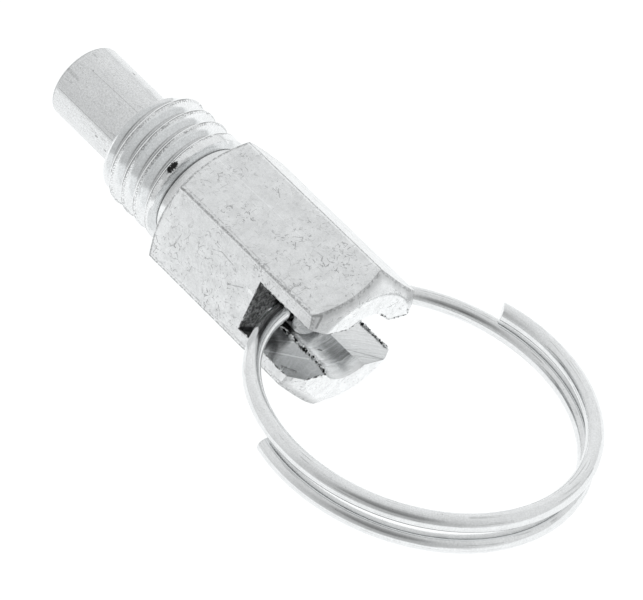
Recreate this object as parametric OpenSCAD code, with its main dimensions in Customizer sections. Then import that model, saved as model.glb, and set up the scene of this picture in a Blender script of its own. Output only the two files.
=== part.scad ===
// Spring-loaded locking bolt with a pull ring, lying on one flat of its hexagon.
// Each turned piece is drawn upright, with its turning axis on Z and the hexagon's
// shoulder at height 0, and is then laid down so that +X points to the ring end.

/* [Hexagon] */
// Width across the flats
hex_width = 14; // [14:0.1:15]
// Length from the shoulder to the ring end
hex_length = 21; // [20.5:0.1:24]
// Radius of the flat shoulder inside its chamfer
shoulder_radius = 6.6; // [6.3:0.05:6.9]
// Angle of the shoulder chamfer to the shoulder
shoulder_chamfer_angle = 30; // [15:1:40]
// Radius of the flat face at the ring end
ring_end_radius = 6.05; // [5.5:0.05:6.9]
// Angle of the ring end's chamfer to its face
ring_end_chamfer_angle = 35; // [15:1:40]

/* [Thread] */
// Diameter over the crests
thread_diameter = 12; // [11.8:0.05:12.4]
// Distance from crest to crest
thread_pitch = 1.75; // [1.5:0.25:1.75]
// Length from the shoulder to the front end
thread_length = 9.6; // [9.2:0.1:13]
// Length of the plain undercut next to the shoulder
undercut_length = 2.3; // [1.8:0.1:2.6]
// Width of the chamfer at the front end
thread_chamfer = 0.9; // [0.5:0.05:1]

/* [Slot and bores] */
// Width of the slot that the ring rests in
slot_width = 5.4; // [5:0.1:6]
// Depth of the slot below the ring end
slot_depth = 7.85; // [7:0.05:8.2]
// Diameter of the counterbore at the ring end
counterbore_diameter = 7; // [6.8:0.1:7.4]
// Depth of the counterbore below the slot's floor
counterbore_depth = 2.95; // [2:0.05:3.5]
// Length of the wall that guides the stem
guide_length = 3; // [2:0.1:3.5]
// Radial clearance of the plunger in its bores
running_clearance = 0.05; // [0.02:0.01:0.08]
// Width of the chamfer at the mouth of the front bore
mouth_chamfer = 0.3; // [0.1:0.05:0.4]

/* [Plunger] */
// Diameter of the nose
nose_diameter = 8; // [7.6:0.1:8]
// Length of the nose beyond the threaded end
nose_reach = 9.6; // [6:0.1:12]
// Length of the nose inside the bore
nose_guide = 4; // [3:0.1:5]
// Width of the chamfer on the nose
nose_chamfer = 0.3; // [0.1:0.05:0.6]
// Depth of the relief groove where the nose leaves the bore
relief_depth = 0.2; // [0.05:0.05:0.3]
// Width of the relief groove
relief_width = 2; // [0.3:0.1:2.2]
// Diameter of the stem
stem_diameter = 6; // [5.6:0.1:6]
// Diameter of the cross hole for the ring
cross_hole_diameter = 2.5; // [2.4:0.05:2.6]
// Length of the stem beyond the edge of the cross hole
stem_end_wall = 0.5; // [0.4:0.05:1]
// Width of the chamfer on the stem's end
stem_chamfer = 0.25; // [0.1:0.05:0.3]
// Angle by which the plunger has turned in the slot
plunger_turn = 7; // [0:0.5:7]

/* [Spring] */
// Diameter of the spring wire
spring_wire = 0.6; // [0.4:0.05:0.65]
// Number of turns
spring_turns = 7; // [5:1:9]
// Gap between the spring's ends and their seats
spring_gap = 0.02; // [0.01:0.01:0.05]

/* [Ring] */
// Diameter of the ring wire
ring_wire = 1.7; // [1.5:0.05:1.75]
// Mean radius of the ring
ring_radius = 15.8; // [14:0.1:20]
// Angle from the cross hole to the lower tip
lower_tip_turn = 284; // [260:0.5:290]
// Angle from the cross hole to the upper tip
upper_tip_turn = 289.5; // [260:0.5:290]
// Distance by which each half would rise out of the ring's plane if it rose evenly
layer_spread = 2.45; // [2.35:0.05:2.6]
// Amount by which both tips close up on the other layer
tip_closing = 0.95; // [0.9:0.05:1.2]
// Swing of the ring about the cross hole at rest
ring_swing = -1; // [-5:0.1:5]
// Lean of the ring in the loose cross hole
ring_lean = 1.9; // [0:0.1:2]
// Gap between the ring wire and the slot's floor
ring_gap = 0.02; // [0.01:0.01:0.1]

/* [Hidden] */
$fn = 96;
cut = 1;
corner_radius = hex_width / sqrt(3);
outer_radius = corner_radius + 0.2;
thread_radius = thread_diameter / 2;
flank_angle = 30;
thread_depth = 0.6134 * thread_pitch;
root_radius = thread_radius - thread_depth;
crest_half_width = thread_pitch / 16;
foot_half_width = crest_half_width + thread_depth * tan(flank_angle);
first_crest = -undercut_length - foot_half_width;
crest_count = ceil((thread_length - undercut_length) / thread_pitch);
slot_floor = hex_length - slot_depth;
counterbore_floor = slot_floor - counterbore_depth;
guide_front = counterbore_floor - guide_length;
nose_radius = nose_diameter / 2;
nose_tip = -thread_length - nose_reach;
nose_shoulder = -thread_length + nose_guide;
relief_start = -thread_length - 0.1;
stem_radius = stem_diameter / 2;
ring_height = slot_floor + ring_wire / 2 + ring_gap;
stem_end = ring_height + cross_hole_diameter / 2 + stem_end_wall;
spring_radius = (nose_radius + running_clearance + stem_radius) / 2;
spring_low = nose_shoulder + spring_wire / 2 + spring_gap;
spring_high = guide_front - spring_wire / 2 - spring_gap;
closed_pitch = spring_wire + spring_gap;
open_pitch = (spring_high - spring_low - 2 * closed_pitch) / (spring_turns - 2);
spring_sides = 8;
spring_steps = 22;
ring_sides = 16;
ring_steps = 160;
ring_half_turn = 285;
slot_turn = 60;

// Lays an upright piece down: its axis turns from +Z to +X, and one flat faces the floor.
module laid_down() {
    rotate([0, 90, 0])
        rotate([0, 0, slot_turn])
            children();
}

// Sweeps a round section along centre points; outs and ups span the section at each point.
module swept_wire(centres, outs, ups, radius, sides) {
    rows = len(centres);
    points = [
        for (i = [0:rows - 1])
            for (j = [0:sides - 1])
                centres[i] + radius * (cos(360 * j / sides) * outs[i] + sin(360 * j / sides) * ups[i])
    ];
    walls = [
        for (i = [0:rows - 2])
            for (j = [0:sides - 1])
                let (a = i * sides + j, b = i * sides + (j + 1) % sides)
                    for (face = [[a, b, b + sides], [a, b + sides, a + sides]])
                        face
    ];
    first_cap = [for (j = [sides - 1:-1:0]) j];
    last_cap = [for (j = [0:sides - 1]) (rows - 1) * sides + j];
    polyhedron(points = points, faces = concat([first_cap], walls, [last_cap]));
}

// Turned outline of the hexagon: a cone takes its corners off at both ends.
module hexagon_envelope() {
    shoulder_rise = (outer_radius - shoulder_radius) * tan(shoulder_chamfer_angle);
    end_drop = (outer_radius - ring_end_radius) * tan(ring_end_chamfer_angle);
    rotate_extrude()
        polygon([
            [0, 0],
            [shoulder_radius, 0],
            [outer_radius, shoulder_rise],
            [outer_radius, hex_length - end_drop],
            [ring_end_radius, hex_length],
            [0, hex_length]
        ]);
}

module hexagon() {
    intersection() {
        rotate([0, 0, 30])
            cylinder(r = corner_radius, h = hex_length, $fn = 6);
        hexagon_envelope();
    }
}

// One ridge of the thread, as a ring; its crest lies at height 0.
module thread_ridge() {
    rotate_extrude()
        polygon([
            [root_radius - 0.2, -foot_half_width],
            [root_radius, -foot_half_width],
            [thread_radius, -crest_half_width],
            [thread_radius, crest_half_width],
            [root_radius, foot_half_width],
            [root_radius - 0.2, foot_half_width]
        ]);
}

// Outline that the front chamfer leaves of the threaded end.
module thread_envelope() {
    rotate_extrude()
        polygon([
            [0, cut],
            [0, -thread_length],
            [thread_radius - thread_chamfer, -thread_length],
            [thread_radius, thread_chamfer - thread_length],
            [thread_radius, cut]
        ]);
}

module threaded_end() {
    intersection() {
        union() {
            translate([0, 0, -thread_length])
                cylinder(r = root_radius, h = thread_length + cut);
            for (k = [0:crest_count - 1])
                translate([0, 0, first_crest - k * thread_pitch])
                    thread_ridge();
        }
        thread_envelope();
    }
}

// Stepped bore: nose and spring at the front, the stem's guide, the counterbore behind it.
module bores() {
    bore_radius = nose_radius + running_clearance;
    translate([0, 0, -thread_length - cut])
        cylinder(r = bore_radius, h = guide_front + thread_length + cut);
    translate([0, 0, -thread_length - mouth_chamfer])
        cylinder(r1 = bore_radius + 2 * mouth_chamfer, r2 = bore_radius, h = 2 * mouth_chamfer);
    translate([0, 0, guide_front - cut])
        cylinder(r = stem_radius + running_clearance, h = guide_length + 2 * cut);
    translate([0, 0, counterbore_floor])
        cylinder(d = counterbore_diameter, h = hex_length - counterbore_floor + cut);
}

// The slot crosses the hexagon from flat to flat.
module slot() {
    translate([-hex_width, -slot_width / 2, slot_floor])
        cube([2 * hex_width, slot_width, slot_depth + cut]);
}

module threaded_body() {
    color("gainsboro")
        laid_down()
            difference() {
                union() {
                    hexagon();
                    threaded_end();
                }
                bores();
                slot();
            }
}

module plunger() {
    color("silver")
        laid_down()
            rotate([0, 0, plunger_turn])
                difference() {
                    rotate_extrude()
                        polygon([
                            [0, nose_tip],
                            [nose_radius - nose_chamfer, nose_tip],
                            [nose_radius, nose_tip + nose_chamfer],
                            [nose_radius, relief_start],
                            [nose_radius - relief_depth, relief_start],
                            [nose_radius - relief_depth, relief_start + relief_width],
                            [nose_radius, relief_start + relief_width],
                            [nose_radius, nose_shoulder],
                            [stem_radius, nose_shoulder],
                            [stem_radius, stem_end - stem_chamfer],
                            [stem_radius - stem_chamfer, stem_end],
                            [0, stem_end]
                        ]);
                    translate([-nose_radius, 0, ring_height])
                        rotate([0, 90, 0])
                            cylinder(d = cross_hole_diameter, h = nose_diameter);
                }
}

// Height of the spring wire after a number of turns: the first and last turns lie closed.
function spring_height(turn) =
    spring_low + closed_pitch * (min(turn, 1) + max(turn - spring_turns + 1, 0))
    + open_pitch * min(max(turn - 1, 0), spring_turns - 2);

module return_spring() {
    turns = [for (i = [0:spring_turns * spring_steps]) i / spring_steps];
    outs = [for (t = turns) [cos(360 * t), sin(360 * t), 0]];
    centres = [for (t = turns) spring_radius * [cos(360 * t), sin(360 * t), 0] + [0, 0, spring_height(t)]];
    ups = [for (t = turns) [0, 0, 1]];
    color("darkgray")
        laid_down()
            swept_wire(centres, outs, ups, spring_wire / 2, spring_sides);
}

// Rise of the ring wire out of the ring's middle plane, at a share of half its turns.
function layer_rise(share) = layer_spread * share - tip_closing * pow(share, 3);

module pull_ring() {
    turns = [
        for (i = [0:ring_steps])
            (lower_tip_turn + upper_tip_turn) * i / ring_steps - lower_tip_turn
    ];
    angles = [for (t = turns) 270 - t];
    outs = [for (a = angles) [cos(a), sin(a), 0]];
    centres = [
        for (i = [0:ring_steps])
            ring_radius * (outs[i] + [0, 1, 0]) - [0, 0, layer_rise(turns[i] / ring_half_turn)]
    ];
    ups = [for (a = angles) [0, 0, -1]];
    color("lightgray")
        laid_down()
            rotate([0, 0, plunger_turn])
                translate([0, 0, ring_height])
                    rotate([ring_swing, 0, 0])
                        rotate([0, 0, ring_lean])
                            rotate([90, 0, 0])
                                swept_wire(centres, outs, ups, ring_wire / 2, ring_sides);
}

threaded_body();
plunger();
return_spring();
pull_ring();
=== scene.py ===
"""A spring-loaded locking bolt with a split pull ring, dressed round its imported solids.

Sizes are in millimetres in the upright frame of the turned pieces: Z runs along the bolt
from the hexagon's shoulder to the ring end. `laid` turns points down into the shared frame.
"""

import logging
import math
from dataclasses import dataclass
from enum import Enum
from functools import reduce

import bmesh
import bpy
import numpy as np
from mathutils import Matrix, Vector

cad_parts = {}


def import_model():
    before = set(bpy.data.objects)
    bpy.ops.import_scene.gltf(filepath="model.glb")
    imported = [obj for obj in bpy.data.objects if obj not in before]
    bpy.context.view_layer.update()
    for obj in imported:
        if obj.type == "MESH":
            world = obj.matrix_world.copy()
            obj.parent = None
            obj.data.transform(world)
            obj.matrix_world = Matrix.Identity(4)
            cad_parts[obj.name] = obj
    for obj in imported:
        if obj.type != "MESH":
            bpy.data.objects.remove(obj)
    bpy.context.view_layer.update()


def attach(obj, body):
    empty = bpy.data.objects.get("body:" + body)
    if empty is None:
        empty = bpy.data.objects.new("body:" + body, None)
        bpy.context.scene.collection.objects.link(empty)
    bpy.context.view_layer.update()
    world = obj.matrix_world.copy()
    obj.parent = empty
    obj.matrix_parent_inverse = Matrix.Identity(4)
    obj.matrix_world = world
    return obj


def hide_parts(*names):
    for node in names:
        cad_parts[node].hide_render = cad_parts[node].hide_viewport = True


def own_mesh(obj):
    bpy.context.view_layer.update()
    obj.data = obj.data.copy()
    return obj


MM = 0.001
SLOT_TURN = 60.0
LOG = logging.getLogger("locking_bolt")


class Body(Enum):
    """The moving groups that a piece can ride on."""

    HOUSING = "housing"
    SPRING_END = "spring_end"
    PLUNGER = "plunger"
    RING = "ring"


class Slot(Enum):
    """The record's material slots."""

    BODY = "body_steel"
    PLUNGER = "plunger_steel"
    SPRING = "spring_steel"
    RING = "ring_steel"


class Zone(Enum):
    """Regions of the threaded body that were made by different tools, by material index."""

    HEXAGON = 0
    THREAD = 1
    MILLED = 2
    BORED = 3


def laid(points: np.ndarray) -> np.ndarray:
    """Turns upright points down into the shared frame.

    Args:
        points: Positions in millimetres, the last axis being x, y and z.

    Returns:
        The same positions in metres, lying on one flat of the hexagon.
    """
    turn = math.radians(SLOT_TURN)
    c, s = math.cos(turn), math.sin(turn)
    x, y, z = points[..., 0], points[..., 1], points[..., 2]
    return np.stack([z, x * s + y * c, y * s - x * c], axis=-1) * MM


def spin(points: np.ndarray, axis: str, degrees: float) -> np.ndarray:
    """Turns points about a coordinate axis.

    Args:
        points: Positions or directions, the last axis being x, y and z.
        axis: The letter of the axis, X, Y or Z.
        degrees: The angle by the right-hand rule.

    Returns:
        The turned points.
    """
    turn = np.array(Matrix.Rotation(math.radians(degrees), 3, axis))
    return points @ turn.T


def rounded(corners: list[tuple], columns: int) -> np.ndarray:
    """Rounds the corners of an open outline, once for each column of a mesh.

    Args:
        corners: One (radius, height, trim, steps) per corner. A radius or height may be an
            array with a value for each column. Trim is the length that the rounding takes
            off both sides, and with 0 steps the corner stays as it is.
        columns: The number of columns.

    Returns:
        An array of rows, columns and (radius, height).
    """
    spots = [
        np.stack([np.broadcast_to(np.asarray(v, float), columns) for v in c[:2]], axis=-1)
        for c in corners
    ]
    rows = []
    for i, (spot, (_, _, trim, steps)) in enumerate(zip(spots, corners)):
        if steps == 0:
            rows.append(spot)
            continue
        ends = []
        for other in (spots[i - 1], spots[i + 1]):
            side = other - spot
            length = np.linalg.norm(side, axis=-1, keepdims=True)
            ends.append(spot + side / length * np.minimum(trim, length * 0.45))
        for k in range(steps + 1):
            t = k / steps
            rows.append((1 - t) ** 2 * ends[0] + 2 * t * (1 - t) * spot + t * t * ends[1])
    return np.stack(rows)


def sheet_mesh(name: str, points: np.ndarray, close_rows: bool = False, capped: bool = False,
               along: np.ndarray | None = None, seamed: bool = False) -> bpy.types.Object:
    """Makes a mesh object from a grid of upright points.

    Args:
        name: The object's name.
        points: An array of rows, columns and x, y, z in millimetres. The columns close up.
        close_rows: Whether the last row joins the first.
        capped: Whether the first and last rows are closed with a face each.
        along: The length along a wire for each row, kept on the mesh as `along`.
        seamed: Whether the last column already lies on the first, a full turn on.

    Returns:
        The object, with outward normals and without doubled points.
    """
    rows, columns = points.shape[:2]
    index = np.arange(rows * columns).reshape(rows, columns)
    last = index if close_rows else index[:-1]
    down = np.roll(index, -1, axis=0) if close_rows else index[1:]
    quads = np.stack([last, np.roll(last, -1, axis=1), np.roll(down, -1, axis=1), down], axis=-1)
    quads = quads[:, :-1] if seamed else quads
    faces = quads.reshape(-1, 4).tolist()
    if capped:
        faces += [index[0][::-1].tolist(), index[-1].tolist()]
    mesh = bpy.data.meshes.new(name)
    mesh.from_pydata(laid(points).reshape(-1, 3).tolist(), [], faces)
    if along is not None:
        mesh.attributes.new("along", "FLOAT", "POINT").data.foreach_set(
            "value", np.repeat(along, columns).astype(np.float32))
        turns = np.tile(np.arange(columns) / columns, rows)
        mesh.attributes.new("around", "FLOAT", "POINT").data.foreach_set(
            "value", turns.astype(np.float32))
    made = bmesh.new()
    made.from_mesh(mesh)
    bmesh.ops.remove_doubles(made, verts=made.verts, dist=2e-7)
    bmesh.ops.dissolve_degenerate(made, edges=made.edges, dist=1e-7)
    bmesh.ops.recalc_face_normals(made, faces=made.faces)
    made.to_mesh(mesh)
    made.free()
    piece = bpy.data.objects.new(name, mesh)
    bpy.context.scene.collection.objects.link(piece)
    return piece


def swept_mesh(name: str, centres: np.ndarray, outs: np.ndarray, ups: np.ndarray, radius: float,
               sides: int, edge: float) -> bpy.types.Object:
    """Sweeps a round wire with softly broken ends along a path.

    Args:
        name: The object's name.
        centres: The path's points in millimetres.
        outs: A unit direction across the wire for each point.
        ups: The other unit direction across the wire for each point.
        radius: The wire's radius.
        sides: The number of sides of the wire's section.
        edge: The width of the rounding at both ends.

    Returns:
        The object, with the attributes `along` and `around`.
    """
    steps = np.linalg.norm(np.diff(centres, axis=0), axis=1)
    length = np.concatenate([[0], np.cumsum(steps)])
    total = length[-1]
    gap = np.minimum(length, total - length)
    ease = np.clip(1 - gap / edge, 0, 1)
    size = radius - edge * (1 - np.sqrt(1 - ease ** 2))
    turn = np.linspace(0, 2 * math.pi, sides, endpoint=False)
    ring = outs[:, None] * np.cos(turn)[None, :, None] + ups[:, None] * np.sin(turn)[None, :, None]
    return sheet_mesh(name, centres[:, None] + size[:, None, None] * ring, capped=True, along=length)


def cut_away(piece: bpy.types.Object, tool: bpy.types.Object) -> None:
    """Takes the tool's shape off a piece and keeps the tool's material on the cut.

    Args:
        piece: The piece that is cut.
        tool: The closed shape that is taken off it, which is removed afterwards.
    """
    change = piece.modifiers.new("cut", "BOOLEAN")
    change.operation, change.solver, change.object = "DIFFERENCE", "EXACT", tool
    change.material_mode = "TRANSFER"
    settle(piece)
    bpy.data.objects.remove(tool)


def settle(piece: bpy.types.Object) -> None:
    """Applies a piece's modifiers to its mesh.

    Args:
        piece: The piece, whose mesh is exchanged for the changed one.
    """
    bpy.context.view_layer.update()
    graph = bpy.context.evaluated_depsgraph_get()
    mesh = bpy.data.meshes.new_from_object(piece.evaluated_get(graph))
    piece.modifiers.clear()
    piece.data = mesh


def smooth(piece: bpy.types.Object, sharp_degrees: float = 38) -> None:
    """Shades a piece smooth, with flats kept flat and sharp edges kept sharp.

    Args:
        piece: The piece.
        sharp_degrees: The angle between two faces from which their edge stays sharp.
    """
    mesh = piece.data
    mesh.polygons.foreach_set("use_smooth", [True] * len(mesh.polygons))
    mesh.set_sharp_from_angle(angle=math.radians(sharp_degrees))
    weight = piece.modifiers.new("even", "WEIGHTED_NORMAL")
    weight.keep_sharp, weight.weight = True, 90
    settle(piece)


@dataclass(frozen=True)
class Socket:
    """A shader output that sums and products are written with in plain Python."""

    shader: "Shader"
    output: bpy.types.NodeSocket

    def maths(self, operation: str, *values: "Socket | float") -> "Socket":
        """Adds one Math node over the given values."""
        return self.shader.node("ShaderNodeMath", {"operation": operation}, dict(enumerate(values)))

    def __add__(self, other: "Socket | float") -> "Socket":
        """Sum."""
        return self.maths("ADD", self, other)

    def __radd__(self, other: float) -> "Socket":
        """Sum with a number on the left."""
        return self.maths("ADD", other, self)

    def __sub__(self, other: "Socket | float") -> "Socket":
        """Difference."""
        return self.maths("SUBTRACT", self, other)

    def __rsub__(self, other: float) -> "Socket":
        """Difference with a number on the left."""
        return self.maths("SUBTRACT", other, self)

    def __mul__(self, other: "Socket | float") -> "Socket":
        """Product."""
        return self.maths("MULTIPLY", self, other)

    def __rmul__(self, other: float) -> "Socket":
        """Product with a number on the left."""
        return self.maths("MULTIPLY", other, self)

    def __truediv__(self, other: "Socket | float") -> "Socket":
        """Quotient."""
        return self.maths("DIVIDE", self, other)

    def __pow__(self, other: float) -> "Socket":
        """Power."""
        return self.maths("POWER", self, other)

    def away(self, value: float = 0.0) -> "Socket":
        """Distance from a value."""
        return self.maths("ABSOLUTE", self - value)

    def least(self, other: "Socket | float") -> "Socket":
        """The smaller of two values."""
        return self.maths("MINIMUM", self, other)

    def most(self, other: "Socket | float") -> "Socket":
        """The larger of two values."""
        return self.maths("MAXIMUM", self, other)

    def rise(self, low: float, high: float) -> "Socket":
        """Runs softly from 0 to 1.

        Args:
            low: The value that gives 0; it may be the larger one.
            high: The value that gives 1.

        Returns:
            A value between 0 and 1.
        """
        return self.shader.node(
            "ShaderNodeMapRange", {"interpolation_type": "SMOOTHSTEP"},
            {"Value": self, "From Min": low, "From Max": high})


class Shader:
    """Writes the node tree of one material or world."""

    def __init__(self, owner: bpy.types.Material | bpy.types.World) -> None:
        """Empties the owner's tree.

        Args:
            owner: The material or the world that the tree belongs to.
        """
        owner.use_nodes = True
        self.owner = owner
        self.tree = owner.node_tree
        self.tree.nodes.clear()

    def node(self, kind: str, settings: dict | None = None, inputs: dict | None = None,
             output: str | int = 0) -> Socket:
        """Adds a node.

        Args:
            kind: The node's type.
            settings: Properties that are set before the sockets.
            inputs: Values or links by socket name or number.
            output: The name or number of the socket that is returned.

        Returns:
            The chosen output.
        """
        made = self.tree.nodes.new(kind)
        for key, value in (settings or {}).items():
            setattr(made, key, value)
        for key, value in (inputs or {}).items():
            if isinstance(value, Socket):
                self.tree.links.new(value.output, made.inputs[key])
            else:
                made.inputs[key].default_value = value
        return Socket(self, made.outputs[output])

    def place(self) -> Socket:
        """The position on the piece at rest, in millimetres of the shared frame."""
        point = self.node("ShaderNodeTexCoord", output="Object")
        return self.node("ShaderNodeVectorMath", {"operation": "SCALE"}, {0: point, "Scale": 1000.0})

    def parts(self, vector: Socket) -> list[Socket]:
        """Splits a vector into its three numbers."""
        split = self.node("ShaderNodeSeparateXYZ", inputs={0: vector})
        return [Socket(self, o) for o in split.output.node.outputs]

    def joined(self, x: "Socket | float", y: "Socket | float", z: "Socket | float") -> Socket:
        """Makes a vector from three numbers."""
        return self.node("ShaderNodeCombineXYZ", inputs={0: x, 1: y, 2: z})

    def stretched(self, vector: Socket, scale: tuple, turn: tuple = (0, 0, 0),
                  shift: tuple = (0, 0, 0)) -> Socket:
        """Turns, scales and shifts a position for a texture.

        Args:
            vector: The position in millimetres.
            scale: The factor for each axis, after the turn.
            turn: The turn about each axis in degrees.
            shift: The shift along each axis, last of all.

        Returns:
            The new position.
        """
        turned = self.node("ShaderNodeVectorRotate", {"rotation_type": "EULER_XYZ"},
                           {"Vector": vector, "Rotation": [math.radians(a) for a in turn]})
        return self.node("ShaderNodeMapping", inputs={
            "Vector": turned, "Location": shift, "Scale": scale})

    def noise(self, vector: Socket, scale: float = 1.0, detail: float = 2.0,
              roughness: float = 0.5) -> Socket:
        """Cloudy noise between 0 and 1."""
        return self.node("ShaderNodeTexNoise", inputs={
            "Vector": vector, "Scale": scale, "Detail": detail, "Roughness": roughness})

    def specks(self, vector: Socket, scale: float, size: float, share: float) -> Socket:
        """Round specks at random places.

        Args:
            vector: The position.
            scale: How many cells there are per millimetre.
            size: A speck's radius as a share of its cell.
            share: The share of cells that have a speck.

        Returns:
            1 in a speck and 0 outside.
        """
        cell = self.node("ShaderNodeTexVoronoi", inputs={"Vector": vector, "Scale": scale})
        tint = Socket(self, cell.output.node.outputs["Color"])
        pick = self.parts(tint)[0]
        return cell.rise(size, size * 0.6) * pick.rise(share, share * 0.9)

    def shaken(self, vector: Socket, scale: float, reach: float) -> Socket:
        """Moves a position about at random, so that marks drawn with it get ragged edges.

        Args:
            vector: The position in millimetres.
            scale: How fine the unrest is.
            reach: The furthest that a point moves, in millimetres.

        Returns:
            The moved position.
        """
        cloud = self.node("ShaderNodeTexNoise", inputs={
            "Vector": vector, "Scale": scale, "Detail": 2.0}, output="Color")
        push = self.node("ShaderNodeVectorMath", {"operation": "MULTIPLY_ADD"}, {
            0: cloud, 1: (2 * reach,) * 3, 2: (-reach,) * 3})
        return self.node("ShaderNodeVectorMath", {"operation": "ADD"}, {0: vector, 1: push})

    def stroke(self, vector: Socket, points: list[tuple], width: float) -> Socket:
        """A mark along a line through the given points.

        Args:
            vector: The position in millimetres, shaken for a ragged mark.
            points: Two or more places in millimetres of the shared frame.
            width: The distance from the line at which the mark ends.

        Returns:
            1 on the line and 0 beyond the width.
        """
        mark = None
        for start, end in zip(points, points[1:]):
            way = Vector(end) - Vector(start)
            gap = self.node("ShaderNodeVectorMath", {"operation": "SUBTRACT"}, {0: vector, 1: start})
            share = self.node("ShaderNodeVectorMath", {"operation": "DOT_PRODUCT"},
                              {0: gap, 1: (way / way.length_squared)[:]}, "Value").most(0.0).least(1.0)
            reach = self.node("ShaderNodeVectorMath", {"operation": "SCALE"},
                              {0: way[:], "Scale": share})
            off = self.node("ShaderNodeVectorMath", {"operation": "DISTANCE"},
                            {0: gap, 1: reach}, "Value").rise(width, width * 0.5)
            mark = off if mark is None else mark.most(off)
        return mark

    def strokes(self, vector: Socket, lines: list[list[tuple]], width: float) -> Socket:
        """Marks along several lines, as `stroke` makes them."""
        return reduce(Socket.most, (self.stroke(vector, line, width) for line in lines))

    def cracks(self, vector: Socket, scale: float, width: float) -> Socket:
        """Draws a net of thin straight lines.

        Args:
            vector: Where to read the net, in millimetres.
            scale: About how many cells there are per millimetre.
            width: Half the width of a line, as a share of a cell.

        Returns:
            1 on the lines, 0 elsewhere.
        """
        edge = self.node("ShaderNodeTexVoronoi", {"feature": "DISTANCE_TO_EDGE"},
                         {"Vector": vector, "Scale": scale})
        return edge.rise(width, width * 0.4)

    def veins(self, vector: Socket, width: float) -> Socket:
        """Thin wandering lines where a noise passes its middle value."""
        return self.noise(vector, 1.0, 1.0).away(0.5).rise(width, width * 0.3)

    def blend(self, share: "Socket | float", first: "Socket | tuple",
              second: "Socket | tuple") -> Socket:
        """Mixes two colours."""
        return self.node("ShaderNodeMix", {"data_type": "RGBA", "clamp_factor": True},
                         {0: share, 6: first, 7: second}, 2)

    def bump(self, height: Socket, millimetres: float) -> Socket:
        """Makes a normal from a height between 0 and 1."""
        return self.node("ShaderNodeBump", inputs={
            "Height": height, "Distance": millimetres * MM, "Strength": 1.0})

    def metal(self, colour: "Socket | tuple", roughness: "Socket | float", normal: Socket,
              metallic: "Socket | float" = 1.0) -> bpy.types.Material:
        """Closes the tree with one metal shader.

        Args:
            colour: The base colour.
            roughness: The roughness.
            normal: The bumped normal.
            metallic: How far the surface is bare metal.

        Returns:
            The finished material.
        """
        surface = self.node("ShaderNodeBsdfPrincipled", inputs={
            "Base Color": colour, "Roughness": roughness, "Metallic": metallic, "Normal": normal})
        self.close(surface)
        return self.owner

    def close(self, surface: Socket) -> None:
        """Links a surface to the output of the material or world.

        Args:
            surface: The shader that ends the tree.
        """
        kind = "World" if isinstance(self.owner, bpy.types.World) else "Material"
        end = self.tree.nodes.new(f"ShaderNodeOutput{kind}")
        self.tree.links.new(surface.output, end.inputs["Surface"])


def new_finish(name: str) -> Shader:
    """Starts the tree of a new material."""
    return Shader(bpy.data.materials.new(name))


def grey(value: float) -> tuple[float, float, float, float]:
    """A very slightly cool grey."""
    return (value * 0.99, value, value * 1.004, 1.0)


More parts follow.
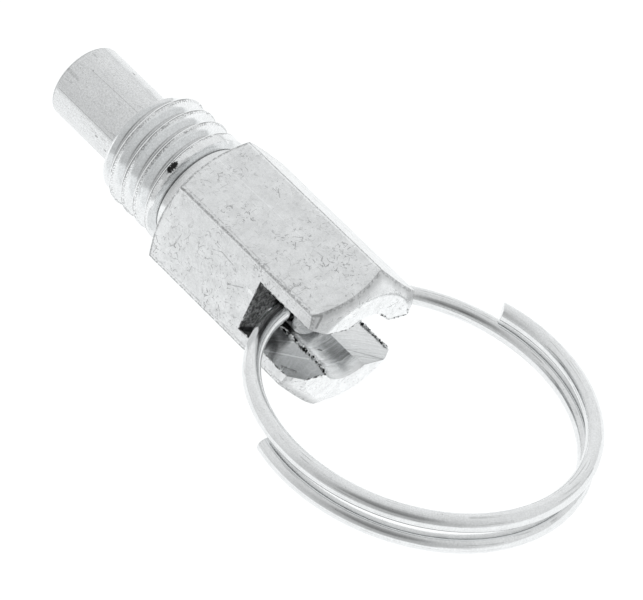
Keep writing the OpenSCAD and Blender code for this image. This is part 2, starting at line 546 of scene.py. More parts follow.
@dataclass(frozen=True)
class BarFinish:
    """Bright plated hexagon bar with handling scratches, edge wear, painted highlights along its corners,
    painted shadow and shade on its end chamfer and an end face painted lighter.
    """

    light: float = 0.99
    dark: float = 0.3
    roughness: float = 0.2
    flat: float = 7.0
    end_face: float = 21.0
    chamfer: tuple[float, float] = (18.9, 19.2)
    shoulder_radius: float = 6.6
    shoulder_slope: float = math.tan(math.radians(30))

    def material(self) -> bpy.types.Material:
        """Builds the finish.

        Returns:
            The material of the hexagon's outside.
        """
        s = new_finish("plated_bar")
        place = s.place()
        fine = s.noise(place, 4.5, 3.0, 0.7)
        # The first value mixes edge wear with painted shadow and shade on the end chamfer; the second is
        # painted corner highlight with a light drawn line.
        edges, bright = self.worn_edges_shade_and_highlight(s, place, fine)
        marks = (self.scratches(s, place) * 0.85).most(edges).most(self.bruises(s, place)).least(1.0)
        cloud = s.noise(place, 0.9, 4.0, 0.6)
        grain = s.noise(s.stretched(place, (0.5, 8.0, 8.0)), 1.0, 2.0)
        x = s.parts(place)[0]
        # Painted light: the last term lifts the end face lighter, and the bright term lifts the corners as
        # painted highlight.
        tone = (0.08 + cloud.rise(0.3, 0.7) * 0.14 + grain * 0.08 + fine.rise(0.3, 0.7) * 0.10
                + s.noise(place, 2.2, 3.0, 0.6).rise(0.45, 0.6) * 0.03 - bright * 0.2
                - x.rise(self.end_face - 0.06, self.end_face - 0.02) * 0.14)
        colour = s.blend((tone + marks * 0.62).least(1.0), grey(self.light), grey(self.dark))
        rough = self.roughness + cloud * 0.1 + marks * 0.25
        height = grain * 0.08 + fine * 0.06 + cloud * 0.35 - marks * 0.8
        return s.metal(colour, rough, s.bump(height, 0.014))

    def scratches(self, s: Shader, place: Socket) -> Socket:
        """Broken hairline scratches in several directions, with a few small pits.

        Args:
            s: The tree.
            place: The position in millimetres.

        Returns:
            The scratches, denser on some parts of the bar than on others.
        """
        busy = s.noise(place, 0.28, 2.0).rise(0.42, 0.62)
        gate = s.noise(place, 1.5, 2.0)
        bent = s.shaken(place, 0.6, 0.3)
        hairs = s.cracks(bent, 0.7, 0.026) * gate.rise(0.54, 0.56)
        hairs = hairs.most(s.cracks(s.stretched(bent, (1, 1, 1), (40, 20, 0)), 1.0, 0.03)
                           * gate.rise(0.44, 0.41) * 0.9)
        for turn, low, high in ((20, 0.55, 0.62), (-38, 0.45, 0.38), (75, 0.58, 0.64)):
            across = s.stretched(place, (0.3, 2.2, 2.2), (turn * 0.5, turn, turn * 0.7))
            hairs = hairs.most(s.veins(across, 0.013) * gate.rise(low, high))
        pits = s.specks(place, 3.0, 0.12, 0.04).most(s.specks(place, 5.5, 0.2, 0.03))
        return hairs.most(pits) * (0.3 + busy * 0.7)

    def worn_edges_shade_and_highlight(self, s: Shader, place: Socket, fine: Socket) -> tuple[Socket, Socket]:
        """Grainy wear lines along the bar's long edges and beside its turned chamfers, painted highlight
        lines along the corners, and painted shadow and shade on the end chamfer.

        Args:
            s: The tree.
            place: The position in millimetres.
            fine: A fine noise that breaks the lines up.

        Returns:
            The dark marks, which hold the painted shadow and shade of the end chamfer, and the painted
            highlight lines beside them.
        """
        x, y, z = s.parts(place)
        radius = ((y * y) + (z * z)) ** 0.5
        corner = z.maths("ARCTAN2", z, y) / (math.pi / 3)
        past = (corner - corner.maths("ROUND", corner)) * 8.4 + (fine - 0.5) * 0.4
        flat = z.away().most((y * 0.866 + z * 0.5).away()).most((y * 0.866 - z * 0.5).away())
        on_corner = radius.rise(7.7, 7.8)
        in_chamfer = x.rise(*self.chamfer) * flat.rise(self.flat, self.flat - 0.03)
        dark = past.away(-0.04).rise(0.15, 0.06) * 0.8
        dark = dark.most(past.away(-0.34).rise(0.08, 0.03) * 0.4) * on_corner
        # Painted highlight: a light line along each rounded corner, standing in for its glint.
        bright = past.away(0.14).rise(0.09, 0.05) * on_corner
        # Painted shadow: a dark band along the end chamfer where it meets the flats.
        end = in_chamfer * flat.rise(6.60, 6.78)
        front = (radius - self.shoulder_radius) * self.shoulder_slope - x
        beside = front.rise(-0.30, -0.14) * front.rise(0.0, -0.06)
        drawn = s.stroke(place, [(0.8, 0.6, self.flat), (12.5, 0.85, self.flat)], 0.07)
        # Painted shade: the end chamfer darkened towards the flats.
        shade = in_chamfer * flat.rise(6.1, 6.7) * 0.48
        grit = fine.rise(0.40, 0.54) * 0.8 + 0.2
        wear_and_chamfer_shadow = dark.most(end * 0.85).most(beside * 0.8) * grit
        return wear_and_chamfer_shadow.most(shade), bright.most(drawn * 0.5)

    def bruises(self, s: Shader, place: Socket) -> Socket:
        """Single knocks: on the corner by the slot, by the shoulder and on the slotted flat.

        Args:
            s: The tree.
            place: The position in millimetres.

        Returns:
            The knocks and two curved scratches.
        """
        rough = s.shaken(place, 4.0, 0.05)
        knock = s.stroke(rough, [(19.6, -3.9, 6.97), (20.0, -3.23, 6.75), (20.2, -4.1, 5.9)], 0.15)
        knock = knock.most(s.stroke(rough, [(19.85, -3.9, 6.6), (20.0, -3.6, 6.5)], 0.4) * 0.45)
        spot = s.stroke(rough, [(0.95, -4.05, 6.98), (1.3, -4.0, 7.0)], 0.16)
        curls = s.strokes(rough, [[(6.9, -5.3, 4.9), (8.0, -5.0, 5.35), (9.7, -5.1, 5.2)],
                                  [(10.0, -6.1, 3.5), (11.7, -5.6, 4.3)]], 0.06)
        return knock.most(spot).most(curls * 0.7)


@dataclass(frozen=True)
class ThreadFinish:
    """Smooth plated thread with crumbled crests and one black speck, with painted highlight and shade lines
    along the crests and painted shade at its root and at the lip by the undercut.
    """

    light: float = 0.97
    dark: float = 0.2
    roughness: float = 0.09
    pitch: float = 1.75
    first_crest: float = -3.38

    def material(self) -> bpy.types.Material:
        """Builds the finish.

        Returns:
            The material of the thread, its undercut and the shoulder.
        """
        s = new_finish("plated_thread")
        place = s.place()
        x, y, z = s.parts(place)
        radius = ((y * y) + (z * z)) ** 0.5
        turns = z.maths("ARCTAN2", z, y) / (2 * math.pi) + 1 / 12
        lead = (x - self.first_crest) / self.pitch - turns
        past = (lead - lead.maths("ROUND", lead)) * self.pitch
        threaded = x.rise(-2.0, -2.3) * radius.rise(5.7, 5.85)
        cloud = s.noise(place, 1.2, 3.0)
        fine = s.noise(place, 6.0, 2.0, 0.6)
        grit = fine.rise(0.46, 0.54)
        # Painted highlight: a light band beside each crest, along one flank.
        edge = past.away(-0.15).rise(0.12, 0.08) * threaded
        # Painted shade: a dark line along the middle of each crest.
        painted_crest_shade = past.away(0.0).rise(0.05, 0.02) * threaded
        crumbs = past.away(0.14).rise(0.10, 0.05) * threaded * grit
        patchy = s.noise(place, 0.7, 2.0).rise(0.4, 0.6) * 0.7 + 0.3
        # Painted shade: the thread's root darkened next to the undercut.
        root = radius.rise(5.03, 4.97) * x.rise(-1.7, -1.9)
        # Painted shadow: a dark line round the lip in front of the undercut's collar.
        lip_shadow_line = x.away(-1.56).rise(0.09, 0.05)
        land = s.stroke(s.shaken(place, 2.0, 0.2), [(-1.85, -3.6, 4.7), (-1.85, -1.2, 5.8)], 0.5)
        # A black, dull, non-metal speck on the neck.
        black_speck = s.stroke(s.shaken(place, 6.0, 0.32), [(-2.35, -2.2, 5.58), (-2.35, -2.8, 5.3)], 0.42)
        smear = s.stroke(s.shaken(place, 3.0, 0.15), [(-2.4, -3.0, 5.1), (-2.3, -3.5, 4.8)], 0.4)
        # marks mixes crumbled crests and the smear and land marks with painted shade at the crests, the
        # root and the lip.
        marks = (painted_crest_shade * 0.15).most(crumbs * patchy * 0.55).most(root * 0.38)
        marks = marks.most(lip_shadow_line * 0.55).most(smear * 0.35).most(land * 0.3)
        tone = (cloud * 0.16 + fine.rise(0.3, 0.7) * 0.14 + marks * 0.8 - edge * 0.6).least(1.0)
        # Painted shade: a patchy dark line along each crest.
        sharp = past.away(0.03).rise(0.05, 0.02) * threaded * s.noise(place, 0.5, 2.0).rise(0.42, 0.55)
        tone = tone.most(sharp * 0.9)
        colour = s.blend(black_speck, s.blend(tone, grey(self.light), grey(self.dark)), grey(0.004))
        rings = s.noise(s.joined(x * 9.0, radius * 9.0, 0.0), 1.0, 1.0)
        height = cloud * 0.3 + rings * 0.15 + fine * 0.1 - crumbs * 0.6 + black_speck * grit
        rough = self.roughness + cloud * 0.08 + marks * 0.2 + black_speck * 0.7
        return s.metal(colour, rough, s.bump(height, 0.012), metallic=1 - black_speck)


@dataclass(frozen=True)
class MilledFinish:
    """Cross slot as the cutter left it: fine curved lines and torn streaks, with painted shade deep in the
    slot and painted shadow on its floor and lower wall.
    """

    light: float = 0.99
    dark: float = 0.12
    roughness: float = 0.24

    def material(self) -> bpy.types.Material:
        """Builds the finish.

        Returns:
            The material of the slot's walls and floor.
        """
        s = new_finish("milled_slot")
        place = s.place()
        x, y, z = s.parts(place)
        across = y * 0.866 - z * 0.5
        up = y * 0.5 + z * 0.866
        deep = 21.0 - x
        sweep = s.noise(s.joined((across * across * 0.05 + deep) * 5.0, across * 0.4, z * 0.3), 1.0, 3.0)
        floor = deep.rise(7.78, 7.84)
        torn = s.noise(place, 4.0, 4.0, 0.8).rise(0.42, 0.60)
        cloud = s.noise(place, 1.4, 3.0)
        fine = s.noise(place, 6.0, 2.0, 0.7)
        rough = s.shaken(place, 2.5, 0.06)
        light = s.stroke(rough, [(13.2, -7.0, 1.15), (13.2, -5.6, 0.3)], 0.08)
        light = light.most(s.strokes(rough, [
            [(13.2, -7.1, 0.8), (13.2, -5.5, -0.35)], [(15.2, -5.9, 0.28), (16.3, -3.7, -1.0)],
            [(16.4, -7.1, 1.0), (18.7, -3.85, -0.9)]], 0.12))
        fan = s.stroke(rough, [(18.7, 0.6, -3.5), (21.0, 3.2, -4.96)], 0.07)
        fan = fan.most(s.strokes(rough, [
            [(19.2, 0.7, -3.6), (21.0, 3.2, -4.96)], [(19.7, 0.8, -3.6), (21.0, 3.0, -4.85)]],
            0.06) * 0.7)
        # Painted shadow: a black patch on the lower wall beside the floor's outer corner.
        painted_shadow_patch = s.stroke(rough, [(13.3, -7.2, 0.9), (13.7, -6.3, 0.4)], 0.55)
        smear = s.stroke(s.shaken(place, 2.0, 0.4), [(18.9, -6.9, 0.9), (19.6, -6.2, 0.5)], 0.3)
        wall = (fan * 0.35 + sweep * 0.26 + cloud * 0.16 + fine.rise(0.3, 0.7) * 0.10
                + smear * fine.rise(0.4, 0.6) * 0.6)
        # Painted shade: the walls darken deeper down and towards one end of the slot.
        corner = deep.rise(5.6, 7.8) * across.rise(-3.0, -6.0) * 0.45
        crude = floor * (across - up * 0.7).rise(-2.9, -3.3)
        # Torn floor plus painted shadow: the torn part of the floor darkens towards the upper wall.
        torn_floor_and_jaw_shadow = (0.12 + torn * 0.9 + up.rise(-1.0, 2.6) * 0.4) * crude
        tone = (wall + corner) * (1 - floor) + floor * 0.1 + torn_floor_and_jaw_shadow
        colour = s.blend(tone.most(painted_shadow_patch).least(1.0) - light, grey(self.light), grey(self.dark))
        height = sweep * (1 - floor) * 0.3 + torn * crude * 1.8
        return s.metal(colour, self.roughness + crude * 0.2 - floor * 0.1, s.bump(height, 0.05))


@dataclass(frozen=True)
class BoredFinish:
    """Drilled bores with fine rings, painted darker everywhere but in the mouth of the counterbore."""

    light: float = 0.93
    dark: float = 0.25
    roughness: float = 0.26

    def material(self) -> bpy.types.Material:
        """Builds the finish.

        Returns:
            The material of the bores.
        """
        s = new_finish("drilled_bore")
        place = s.place()
        x, y, z = s.parts(place)
        rings = s.noise(s.joined(x * 3.5, y * 0.3, z * 0.3), 1.0, 3.0, 0.6)
        cloud = s.noise(place, 2.0, 3.0)
        jagged = (x + s.noise(place, 3.0, 2.0) * 0.5 - 0.25).away(19.45).rise(0.09, 0.04)
        nick = s.stroke(place, [(17.3, -1.45, -3.18), (17.5, -1.3, -3.25)], 0.12)
        # Painted shade: the rings are drawn darker inside the bores than in the counterbore's mouth.
        tone = (rings * 0.7 + cloud * 0.3).rise(0.3, 0.7) * (x.rise(19.6, 19.3) * 0.4 + 0.15) + nick
        colour = s.blend((tone - jagged).least(1.0), grey(self.light), grey(self.dark))
        return s.metal(colour, self.roughness, s.bump(rings - jagged, 0.016))


@dataclass(frozen=True)
class NoseFinish:
    """Ground round bar with a fine grain, small dents, long marks and a painted shade line by the tip."""

    light: float = 0.93
    dark: float = 0.3
    roughness: float = 0.16
    rim: float = -18.9

    def material(self) -> bpy.types.Material:
        """Builds the finish.

        Returns:
            The material of the plunger.
        """
        s = new_finish("ground_nose")
        place = s.place()
        x = s.parts(place)[0]
        grain = s.noise(place, 6.0, 3.0, 0.75).rise(0.25, 0.75)
        cloud = s.noise(place, 0.8, 4.0, 0.6)
        long_marks = s.noise(s.stretched(place, (0.2, 4.0, 4.0)), 1.0, 2.0)
        lines = s.veins(s.stretched(place, (0.06, 1.0, 1.0), shift=(0, 3, 1)), 0.012)
        dents = s.specks(place, 1.3, 0.10, 0.12)
        rough = s.shaken(place, 4.0, 0.1)
        for spot in ((-14.9, 2.7, 2.95), (-12.4, -3.8, 1.25), (-11.0, -3.95, 0.6)):
            dents = dents.most(s.stroke(rough, [spot, (spot[0] + 0.2, *spot[1:])], 0.13))
        drawn = s.stroke(place, [(-18.5, -3.37, 2.15), (-9.8, -3.36, 2.17)], 0.06)
        drawn = drawn.most(s.stroke(place, [(-17.2, -0.5, 3.97), (-9.8, -0.33, 3.99)], 0.05) * 0.8)
        dust = s.specks(place, 5.0, 0.25, 0.16)
        marks = dents.most(dust * 0.7).most(lines * 0.4 * cloud.rise(0.45, 0.6)).most(drawn * 0.55)
        # Painted shade: a thin dark line round the nose where its tip chamfer begins.
        arc = x.away(self.rim).rise(0.10, 0.05)
        tone = cloud * 0.14 + grain * 0.34 + long_marks * 0.06 + marks * 0.55 + arc * 0.35
        colour = s.blend(tone.least(1.0), grey(self.light), grey(self.dark))
        height = grain * 0.2 + cloud * 0.2 - dents
        return s.metal(colour, self.roughness + grain * 0.1, s.bump(height, 0.012))


@dataclass(frozen=True)
class WireFinish:
    """Bright drawn wire with faint lines along it, and painted contact shade where the ring's strands lie
    against each other.
    """

    light: float = 0.98
    dark: float = 0.4
    roughness: float = 0.1
    name: str = "plated_wire"
    # Lengths along the wire outside which it gets its painted contact shade.
    overlap: tuple[float, float] = (-9.0, 999.0)

    def material(self) -> bpy.types.Material:
        """Builds the finish.

        Returns:
            The material of a wire piece that has `along` and `around` on its mesh.
        """
        s = new_finish(self.name)
        along = s.node("ShaderNodeAttribute", {"attribute_name": "along"}, output="Fac")
        around = s.node("ShaderNodeAttribute", {"attribute_name": "around"}, output="Fac")
        place = s.place()
        turn = around * (2 * math.pi)
        lines = s.noise(s.joined(along * 0.12, turn.maths("SINE", turn) * 6.0,
                                 turn.maths("COSINE", turn) * 6.0), 1.0, 2.0)
        cloud = s.noise(place, 1.1, 3.0)
        dust = s.specks(place, 4.0, 0.2, 0.06)
        streaks = lines.rise(0.56, 0.66) * s.noise(place, 0.5, 2.0).rise(0.45, 0.6)
        # Painted shade: a dark line on the side that lies against the other strand, before overlap[0] and
        # after overlap[1].
        first = around.away(0.25).rise(0.08, 0.02) * along.rise(self.overlap[0] + 1, self.overlap[0])
        second = around.away(0.75).rise(0.08, 0.02) * along.rise(self.overlap[1], self.overlap[1] + 1)
        fine = s.noise(place, 6.0, 2.0, 0.6).rise(0.3, 0.7)
        tone = (lines * 0.12 + cloud * 0.14 + dust * 0.35 + streaks * 0.25 + fine * 0.1
                + first.most(second) * 0.22)
        colour = s.blend(tone.least(1.0), grey(self.light), grey(self.dark))
        height = lines * 0.4 + cloud * 0.3
        return s.metal(colour, self.roughness + cloud * 0.1, s.bump(height, 0.01))


@dataclass(frozen=True)
class BurrFinish:
    """Torn edge of the cut, coloured as painted shade and painted highlight: near-black grains between
    white ones.
    """

    light: float = 1.0
    dark: float = 0.01

    def material(self) -> bpy.types.Material:
        """Builds the finish.

        Returns:
            The material of the burrs.
        """
        s = new_finish("torn_edge_painted_shade_and_glint")
        place = s.place()
        torn = s.noise(place, 3.0, 2.0, 0.7).rise(0.44, 0.52)
        # Painted shade and painted highlight: the grains are coloured near-black or white.
        return s.metal(s.blend(torn, grey(self.dark), grey(self.light)), 0.25, s.bump(torn, 0.05))


@dataclass
class ThreadedBody:
    """The hexagon, its thread, its bores and its cross slot."""

    width: float = 14.0
    length: float = 21.0
    corner_rounding: float = 0.3
    shoulder_radius: float = 6.6
    shoulder_slope: float = math.tan(math.radians(30))
    end_radius: float = 6.05
    end_slope: float = math.tan(math.radians(35))
    thread_radius: float = 6.0
    pitch: float = 1.75
    thread_length: float = 9.6
    undercut: float = 1.6
    undercut_radius: float = 5.2
    first_crest: float = -3.38
    front_chamfer: float = 0.9
    bore_radius: float = 4.05
    guide_radius: float = 3.05
    counterbore_radius: float = 3.5
    counterbore_floor: float = 10.2
    mouth_radius: float = 3.8
    mouth_start: float = 19.45
    guide_front: float = 7.2
    slot_half: float = 2.7
    slot_floor: float = 13.15
    edge_break: float = 0.07

    def columns(self) -> tuple[np.ndarray, np.ndarray]:
        """Angles round the bolt and the hexagon's radius at each.

        Returns:
            Angles in radians from 0 to a full turn, and radii in millimetres.
        """
        half = self.width / 2
        rounding = self.corner_rounding
        middle = (half - rounding) / math.cos(math.pi / 6)
        arc = np.radians(np.linspace(-30, 30, 7))
        bow = np.stack([middle + rounding * np.cos(arc), rounding * np.sin(arc)], axis=-1)
        bow_angle = np.arctan2(bow[:, 1], bow[:, 0])
        flat_angle = np.linspace(bow_angle[-1], math.pi / 3 - bow_angle[-1], 42)[1:-1]
        flat_radius = half / np.cos(flat_angle - math.pi / 6)
        angle = np.concatenate([bow_angle, flat_angle])
        radius = np.concatenate([np.linalg.norm(bow, axis=1), flat_radius])
        angles = np.concatenate([angle + math.pi / 6 + k * math.pi / 3 for k in range(6)])
        angles = np.append(angles, angles[0] + 2 * math.pi)
        return angles, np.append(np.tile(radius, 6), radius[0])

    def thread_rows(self, angles: np.ndarray) -> np.ndarray:
        """Rows that follow the right-hand thread and are held back at both of its ends.

        Args:
            angles: The columns' angles in radians.

        Returns:
            An array of rows, columns and (radius, height).
        """
        depth = 0.6134 * self.pitch
        root = self.thread_radius - depth
        crest_half = self.pitch / 16
        foot_half = crest_half + depth * math.tan(math.pi / 6)
        mid = (crest_half + foot_half) / 2
        one = rounded([
            (root, -self.pitch / 2, 0, 0), (root, -foot_half, 0.16, 3),
            (root + depth / 2, -mid, 0, 0), (self.thread_radius, -crest_half, 0.07, 3),
            (self.thread_radius, crest_half, 0.07, 3), (root + depth / 2, mid, 0, 0),
            (root, foot_half, 0.16, 3), (root, self.pitch / 2, 0, 0)], 1)[:, 0]
        count = int(self.thread_length / self.pitch) + 3
        shifts = self.first_crest + self.pitch * (np.arange(count) - count + 2)
        steps = np.concatenate([one[:-1, 1] + shift for shift in shifts])
        lift = self.pitch * angles / (2 * math.pi)
        height = np.clip(steps[:, None] + lift[None], -self.thread_length, -self.undercut)
        phase = (height - lift[None] - self.first_crest + self.pitch / 2) % self.pitch
        radius = np.interp(phase - self.pitch / 2, one[:, 1], one[:, 0])
        turns = np.floor((height - lift[None] - self.first_crest) / self.pitch) + 1
        ended = np.clip((turns + (angles / (2 * math.pi))[None] - 0.8) / 0.4, 0, 1)
        radius = radius + (self.thread_radius - radius) * ended * ended * (3 - 2 * ended)
        front = self.thread_radius - self.front_chamfer + (height + self.thread_length)
        rear = self.undercut_radius - 0.08 + 3.0 * (-self.undercut - height)
        for limit in (front, rear):
            gap = radius - limit
            radius = (radius + limit - np.sqrt(gap ** 2 + 0.0008)) / 2 + 0.004
        radius = np.where(height >= -self.undercut - 1e-6, self.undercut_radius - 0.08, radius)
        return np.stack([radius, height], axis=-1)

    def build(self) -> bpy.types.Object:
        """Builds the body's mesh.

        Returns:
            The body, with a material index for each zone.
        """
        angles, hexagon = self.columns()
        n, e = len(angles), self.edge_break
        front, neck = -self.thread_length, self.undercut_radius
        inside = rounded([
            (4.8, self.length, 0, 0), (self.mouth_radius, self.length, e, 2),
            (self.counterbore_radius, self.mouth_start, 0.1, 2),
            (self.counterbore_radius, self.counterbore_floor, e, 2),
            (self.guide_radius, self.counterbore_floor, e, 2),
            (self.guide_radius, self.guide_front, e, 2), (self.bore_radius, self.guide_front, e, 2),
            (self.bore_radius, front + 0.3, e, 2), (self.bore_radius + 0.3, front, e, 2),
            (4.7, front, 0, 0)], n)
        top = self.length - (hexagon - self.end_radius) * self.end_slope
        rise = (hexagon - self.shoulder_radius) * self.shoulder_slope
        flats = [(hexagon, rise + (top - rise) * k / 12, 0, 0) for k in range(1, 12)]
        outside = rounded([
            (neck - 0.08, 0.04 - self.undercut, 0, 0), (neck + 0.04, 0.1 - self.undercut, 0.05, 2),
            (neck + 0.04, 0.16 - self.undercut, 0.05, 2), (neck, 0.26 - self.undercut, 0, 0),
            (neck, -0.6, 0, 0), (neck, 0.0, 0.15, 4), (self.shoulder_radius, 0.0, e, 2),
            (hexagon, rise, e, 2), *flats, (hexagon, top, e * 1.3, 3),
            (self.end_radius, self.length, e * 3.5, 4), (5.4, self.length, 0, 0)], n)
        thread = self.thread_rows(angles)
        outline = np.concatenate([inside, thread, outside])
        radius, height = outline[..., 0], outline[..., 1]
        points = np.stack([radius * np.cos(angles), radius * np.sin(angles), height], axis=-1)
        piece = sheet_mesh("bolt_body", points, close_rows=True, seamed=True)
        self.zone(piece, Zone.HEXAGON)
        cut_away(piece, self.slot_tool())
        return piece

    def zone(self, piece: bpy.types.Object, last: Zone) -> None:
        """Gives each face the material index of the tool that made it.

        Args:
            piece: The body before its slot is cut.
            last: The zone of the faces that no rule names.
        """
        for zone in Zone:
            piece.data.materials.append(bpy.data.materials.get(zone.name) or
                                        bpy.data.materials.new(zone.name))
        centre = np.zeros(len(piece.data.polygons) * 3)
        piece.data.polygons.foreach_get("center", centre)
        centre = centre.reshape(-1, 3) / MM
        radius = np.hypot(centre[:, 1], centre[:, 2])
        index = np.full(len(centre), last.value)
        index[centre[:, 0] < 0.02] = Zone.THREAD.value
        index[(radius < self.bore_radius + 0.2) & (centre[:, 0] < self.length - 0.08)
              & (centre[:, 0] > -self.thread_length + 0.02)] = Zone.BORED.value
        piece.data.polygons.foreach_set("material_index", index.astype(np.int32))

    def slot_tool(self) -> bpy.types.Object:
        """Builds the cutter of the cross slot.

        Returns:
            The cutter, flared where it leaves the body so that it breaks the edges.
        """
        half, e, end, up = self.width / 2, self.edge_break, self.length, self.length + 1
        sides = ((-half - 1, e), (-half, e), (e - half, 0.0), (half - e, 0.0), (half, e), (half + 1, e))
        rows = []
        for x, flare in sides:
            w, low, mouth = self.slot_half + flare, self.slot_floor - flare, self.slot_half + e
            rows.append([(x, -w, low), (x, w, low), (x, w, end - e), (x, mouth, end), (x, mouth, up),
                         (x, -mouth, up), (x, -mouth, end), (x, -w, end - e)])
        tool = sheet_mesh("slot_tool", np.array(rows, float), capped=True)
        for zone in Zone:
            tool.data.materials.append(bpy.data.materials[zone.name])
        tool.data.polygons.foreach_set("material_index", [Zone.MILLED.value] * len(tool.data.polygons))
        return tool

    def dress(self, piece: bpy.types.Object) -> None:
        """Shades the body and gives each zone its finish.

        Args:
            piece: The body.
        """
        finishes = {Zone.HEXAGON: BarFinish(), Zone.THREAD: ThreadFinish(),
                    Zone.MILLED: MilledFinish(), Zone.BORED: BoredFinish()}
        smooth(piece)
        for zone, finish in finishes.items():
            piece.data.materials[zone.value] = finish.material()
            bpy.data.materials.remove(bpy.data.materials[zone.name])
        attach(piece, Body.HOUSING.value)
        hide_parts("threaded_body")


@dataclass
class SlotBurrs:
    """Ragged beads that the cutter left along the slot's and counterbore's edges."""

    slot_half: float = 2.7
    half_width: float = 7.0
    length: float = 21.0
    seed: int = 5

    def edges(self) -> list[tuple[tuple, tuple, float]]:
        """Lists the ragged edges.

        Returns:
            Start, end and thickness of each edge in the upright frame.
        """
        low, high, side = -self.slot_half, self.slot_half, self.half_width
        groove = 2.227
        return [
            ((-groove, low + 0.05, 13.3), (-groove, low + 0.05, 19.5), 0.18),
            ((-groove, low + 0.04, 19.45), (-2.67, low + 0.04, 20.9), 0.15),
            ((side - 0.1, low + 0.04, 13.4), (side - 0.1, low + 0.04, 19.9), 0.18),
            ((2.65, high, 20.96), (5.3, high, 20.96), 0.11),
            ((5.4, 2.75, 20.96), (4.9, 3.5, 20.96), 0.1),
            ((1.1, 3.64, 20.96), (2.65, 2.72, 20.96), 0.09),
            ((-5.2, high, 20.97), (-2.6, high, 20.97), 0.06),
            ((-2.6, 2.75, 20.97), (-1.4, 3.53, 20.97), 0.05),
            ((side - 0.03, high, 15.0), (side - 0.03, high, 19.9), 0.06),
            ((0.03 - side, high, 13.3), (0.03 - side, high, 19.6), 0.035),
            ((0.03 - side, low, 14.0), (0.03 - side, low, 19.6), 0.07),
            ((-5.3, low, 20.97), (-2.6, low, 20.97), 0.08),
        ]

    def build(self) -> bpy.types.Object:
        """Builds all beads as one piece.

        Returns:
            The burrs.
        """
        chance = np.random.default_rng(self.seed)
        made = []
        for number, (start, end, size) in enumerate(self.edges()):
            a, b = np.array(start, float), np.array(end, float)
            count = int(np.linalg.norm(b - a) / 0.06)
            share = np.linspace(0, 1, count)[:, None]
            wander = np.cumsum(chance.normal(0, 0.012, (count, 3)), axis=0)
            wander -= share * wander[-1]
            centres = a + (b - a) * share + np.clip(wander, -0.03, 0.03)
            along = (b - a) / np.linalg.norm(b - a)
            out = np.cross(along, [0.3, 0.5, 0.81])
            out /= np.linalg.norm(out)
            up = np.cross(along, out)
            turn = np.linspace(0, 2 * math.pi, 8, endpoint=False)
            width = size * chance.uniform(0.6, 1.1, (count, 1, 1)) * chance.uniform(0.6, 1.2, (count, 8, 1))
            width[0] = width[-1] = 0.01
            ring = (out * np.cos(turn)[:, None] + up * np.sin(turn)[:, None])[None]
            made.append(sheet_mesh(f"burr_{number}", centres[:, None] + width * ring, capped=True))
        with bpy.context.temp_override(active_object=made[0], selected_editable_objects=made):
            bpy.ops.object.join()
        made[0].name = "slot_burrs"
        return made[0]

    def dress(self, piece: bpy.types.Object) -> None:
        """Finishes the burrs and lets them ride on the body.

        Args:
            piece: The piece that `build` made.
        """
        piece.data.materials.append(BurrFinish().material())
        smooth(piece, 60)
        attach(piece, Body.HOUSING.value)


@dataclass
class Plunger:
    """The nose, its stem and the cross hole that the ring runs through."""

    nose_radius: float = 4.0
    tip: float = -19.2
    shoulder: float = -5.6
    stem_radius: float = 3.0
    stem_end: float = 15.77
    hole_radius: float = 1.25
    hole_height: float = 14.02
    groove: tuple[float, float] = (-9.7, -7.7)
    groove_depth: float = 0.2
    turn: float = 7.0

    def build(self) -> bpy.types.Object:
        """Builds the plunger's mesh.

        Returns:
            The plunger.
        """
        count = 144
        angles = np.linspace(0, 2 * math.pi, count + 1)
        nose, relief = self.nose_radius, self.nose_radius - self.groove_depth
        front, back = self.groove
        outline = rounded([
            (0.0, self.tip, 0, 0), (2.0, self.tip, 0, 0), (nose - 0.3, self.tip, 0.1, 3),
            (nose, self.tip + 0.3, 0.1, 3), (nose, -14.0, 0, 0), (nose, front, 0.03, 1),
            (relief, front + 0.05, 0.03, 1), (relief, back - 0.05, 0.03, 1), (nose, back, 0.03, 1),
            (nose, self.shoulder, 0.08, 2), (self.stem_radius, self.shoulder, 0.15, 3),
            (self.stem_radius, 8.0, 0, 0), (self.stem_radius, self.stem_end - 0.25, 0.1, 3),
            (self.stem_radius - 0.25, self.stem_end, 0.1, 3), (1.5, self.stem_end, 0, 0),
            (0.0, self.stem_end, 0, 0)], count + 1)
        radius, height = outline[..., 0], outline[..., 1]
        points = np.stack([radius * np.cos(angles), radius * np.sin(angles), height], axis=-1)
        piece = sheet_mesh("plunger_pin", spin(points, "Z", self.turn), seamed=True)
        turn = np.linspace(0, 2 * math.pi, 48, endpoint=False)
        flare = [(-5, 1.25), (-3.2, 1.25), (-2.6, 1.0), (2.6, 1.0), (3.2, 1.25), (5, 1.25)]
        rows = [np.stack([np.full(48, x), size * self.hole_radius * np.cos(turn),
                          self.hole_height + size * self.hole_radius * np.sin(turn)], axis=-1)
                for x, size in flare]
        cut_away(piece, sheet_mesh("hole_tool", spin(np.array(rows), "Z", self.turn), capped=True))
        return piece

    def dress(self, piece: bpy.types.Object) -> None:
        """Finishes the plunger and lets it ride on its body.

        Args:
            piece: The piece that `build` made.
        """
        piece.data.materials.clear()
        piece.data.materials.append(NoseFinish().material())
        smooth(piece)
        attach(piece, Body.PLUNGER.value)
        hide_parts("plunger")


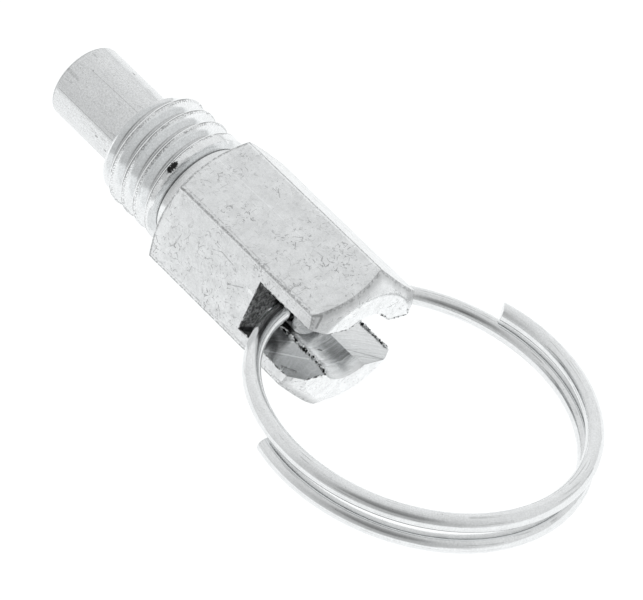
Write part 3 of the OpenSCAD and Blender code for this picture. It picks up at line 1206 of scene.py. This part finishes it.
@dataclass
class ReturnSpring:
    """The coil between the guide wall and the plunger's shoulder."""

    wire: float = 0.6
    turns: int = 7
    radius: float = 3.525
    low: float = -5.28
    high: float = 6.88
    travel: float = 8.6

    def build(self) -> bpy.types.Object:
        """Builds the coil with its first and last turns closed.

        Returns:
            The spring.
        """
        turn = np.linspace(0, self.turns, self.turns * 56 + 1)
        closed = self.wire + 0.02
        pitch = (self.high - self.low - 2 * closed) / (self.turns - 2)
        height = (self.low + closed * (np.minimum(turn, 1) + np.maximum(turn - self.turns + 1, 0))
                  + pitch * np.clip(turn - 1, 0, self.turns - 2))
        outs = np.stack([np.cos(2 * math.pi * turn), np.sin(2 * math.pi * turn), turn * 0], axis=-1)
        centres = outs * self.radius + np.stack([turn * 0, turn * 0, height], axis=-1)
        ups = np.tile([0.0, 0.0, 1.0], (len(turn), 1))
        return swept_mesh("return_coil", centres, outs, ups, self.wire / 2, 14, 0.05)

    def dress(self, piece: bpy.types.Object) -> None:
        """Finishes the spring and lets it ride on the spring's end.

        Args:
            piece: The piece that `build` made.
        """
        piece.data.materials.append(WireFinish(0.6, 0.3, 0.25, "spring_wire").material())
        smooth(piece)
        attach(piece, Body.SPRING_END.value)
        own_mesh(piece)
        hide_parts("return_spring")


@dataclass
class PullRing:
    """The split ring whose wire overlaps itself."""

    wire: float = 1.7
    radius: float = 15.8
    half_turn: float = 285.0
    lower_tip: float = -284.0
    upper_tip: float = 289.5
    spread: float = 2.45
    closing: float = 0.95
    swing: float = -1.0
    lean: float = 1.9
    turn: float = 7.0
    height: float = 14.02
    shear: float = 0.4
    shear_reach: float = 1.5

    def build(self) -> bpy.types.Object:
        """Builds the ring's wire, with its upper end cut off on the slant.

        Returns:
            The ring.
        """
        low, high = self.lower_tip / self.half_turn, self.upper_tip / self.half_turn
        near = np.array([0.0005, 0.001, 0.002])
        share = np.unique(np.concatenate([np.linspace(low, high, 565), low + near, high - near]))
        angle = np.radians(270 - self.half_turn * share)
        rise = self.spread * share - self.closing * share ** 3
        flat = np.zeros_like(share)
        outs = np.stack([np.cos(angle), np.sin(angle), flat], axis=-1)
        centres = self.radius * (outs + [0, 1, 0]) - np.stack([flat, flat, rise], axis=-1)
        ups = np.tile([0.0, 0.0, -1.0], (len(share), 1))
        placed = []
        for points in (centres, outs, ups):
            moved = spin(spin(points, "X", 90), "Z", self.lean)
            placed.append(spin(moved, "X", self.swing))
        placed[0] = placed[0] + [0, 0, self.height]
        centres, outs, ups = (spin(points, "Z", self.turn) for points in placed)
        left = np.linalg.norm(centres - centres[-1], axis=1)
        slant = np.clip(1 - left / self.shear_reach, 0, 1) * self.shear * (share > 0)
        along = np.gradient(centres, axis=0)
        along /= np.linalg.norm(along, axis=1, keepdims=True)
        outs = outs + along * slant[:, None]
        return swept_mesh("pull_ring_wire", centres, outs, ups, self.wire / 2, 28, 0.06)

    def dress(self, piece: bpy.types.Object) -> None:
        """Finishes the ring and lets it ride on its body.

        Args:
            piece: The piece that `build` made.
        """
        piece.data.materials.append(WireFinish(dark=0.16, overlap=(58.0, 100.0)).material())
        smooth(piece)
        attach(piece, Body.RING.value)
        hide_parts("pull_ring")


@dataclass
class Studio:
    """The floor, the light and the camera."""

    floor_height: float = -7.0
    camera_place: tuple = (184.929, -138.297, 310.813)
    camera_aim: tuple = (14.082, 1.570, -1.564)
    camera_roll: float = -0.607
    lens: float = 233.62
    opening: tuple = (0.447, -0.366, 0.817)
    low_side: tuple = (0.5, -0.87, 0.05)
    bright_side: tuple = (-0.7, 0.7, 0.1)
    glow_middle: float = 14.0
    glow_reach: tuple = (60.0, 200.0)
    floor_light: float = 0.92
    room_light: float = 0.83
    backdrop_light: float = 1.1

    def build_camera(self) -> None:
        """Sets the camera at the bolt's raised three-quarter view."""
        data = bpy.data.cameras.new("camera")
        camera = bpy.data.objects.new("camera", data)
        bpy.context.scene.collection.objects.link(camera)
        data.lens, data.sensor_width = self.lens, 36.0
        data.clip_start, data.clip_end = 0.01, 10.0
        place, aim = Vector(self.camera_place) * MM, Vector(self.camera_aim) * MM
        turn = (aim - place).to_track_quat("-Z", "Y").to_matrix()
        roll = Matrix.Rotation(math.radians(self.camera_roll), 3, "Z")
        camera.matrix_world = Matrix.Translation(place) @ (turn @ roll).to_4x4()
        bpy.context.scene.camera = camera

    def build_floor(self) -> None:
        """Makes the pale floor, which glows: a painted pool of light, strongest round the bolt and dimmer
        further out.
        """
        mesh = bpy.data.meshes.new("floor")
        size, z = 1.5, self.floor_height * MM
        mesh.from_pydata([(-size, -size, z), (size, -size, z), (size, size, z), (-size, size, z)],
                         [], [(0, 1, 2, 3)])
        floor = bpy.data.objects.new("floor", mesh)
        bpy.context.scene.collection.objects.link(floor)
        s = new_finish("glowing_floor")
        x, y, _ = s.parts(s.place())
        x = x - self.glow_middle
        reach = ((x * x) + (y * y)) ** 0.5
        # Painted pool of light: the floor's glow is strongest round the bolt and fades outward.
        glow = s.blend(reach.rise(*self.glow_reach), grey(1.0), grey(0.62))
        surface = s.node("ShaderNodeBsdfPrincipled", inputs={
            "Base Color": grey(0.22), "Roughness": 0.9, "Specular IOR Level": 0.0,
            "Emission Color": glow, "Emission Strength": self.floor_light})
        s.close(surface)
        mesh.materials.append(s.owner)

    def build_light(self) -> None:
        """Makes a soft light tent: a light room with a darker opening, a darker low side and one lighter
        side.
        """
        world = bpy.data.worlds.new("light_tent")
        bpy.context.scene.world = world
        s = Shader(world)
        way = s.node("ShaderNodeTexCoord", output="Generated")
        opening, low_side, bright_side = (
            s.node("ShaderNodeVectorMath", {"operation": "DOT_PRODUCT"},
                   {0: way, 1: Vector(side).normalized()[:]}, "Value")
            for side in (self.opening, self.low_side, self.bright_side))
        strength = (self.room_light - opening.rise(0.84, 0.97) * 0.27 - opening.rise(0.4, 0.85) * 0.14
                    - low_side.rise(0.1, 0.9) * 0.20 + bright_side.rise(0.7, 1.0) * 0.10)
        seen = s.node("ShaderNodeLightPath", output="Is Camera Ray")
        strength = strength * (1 - seen) + seen * self.backdrop_light
        back = s.node("ShaderNodeBackground", inputs={"Color": grey(1.0), "Strength": strength})
        s.close(back)
        view = bpy.context.scene.view_settings
        view.view_transform, view.look, view.exposure, view.gamma = "Standard", "None", 0.0, 1.0

    def build(self) -> None:
        """Builds the whole studio."""
        self.build_camera()
        self.build_floor()
        self.build_light()


def main() -> None:
    """Builds the bolt piece by piece, dresses it, and notes its size."""
    logging.basicConfig(level=logging.INFO, format="%(name)s: %(message)s")
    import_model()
    Studio().build()
    for maker in (ThreadedBody(), SlotBurrs(), Plunger(), ReturnSpring(), PullRing()):
        piece = maker.build()
        maker.dress(piece)
        LOG.info("%s: %d faces", piece.name, len(piece.data.polygons))


if __name__ == "__main__":
    main()
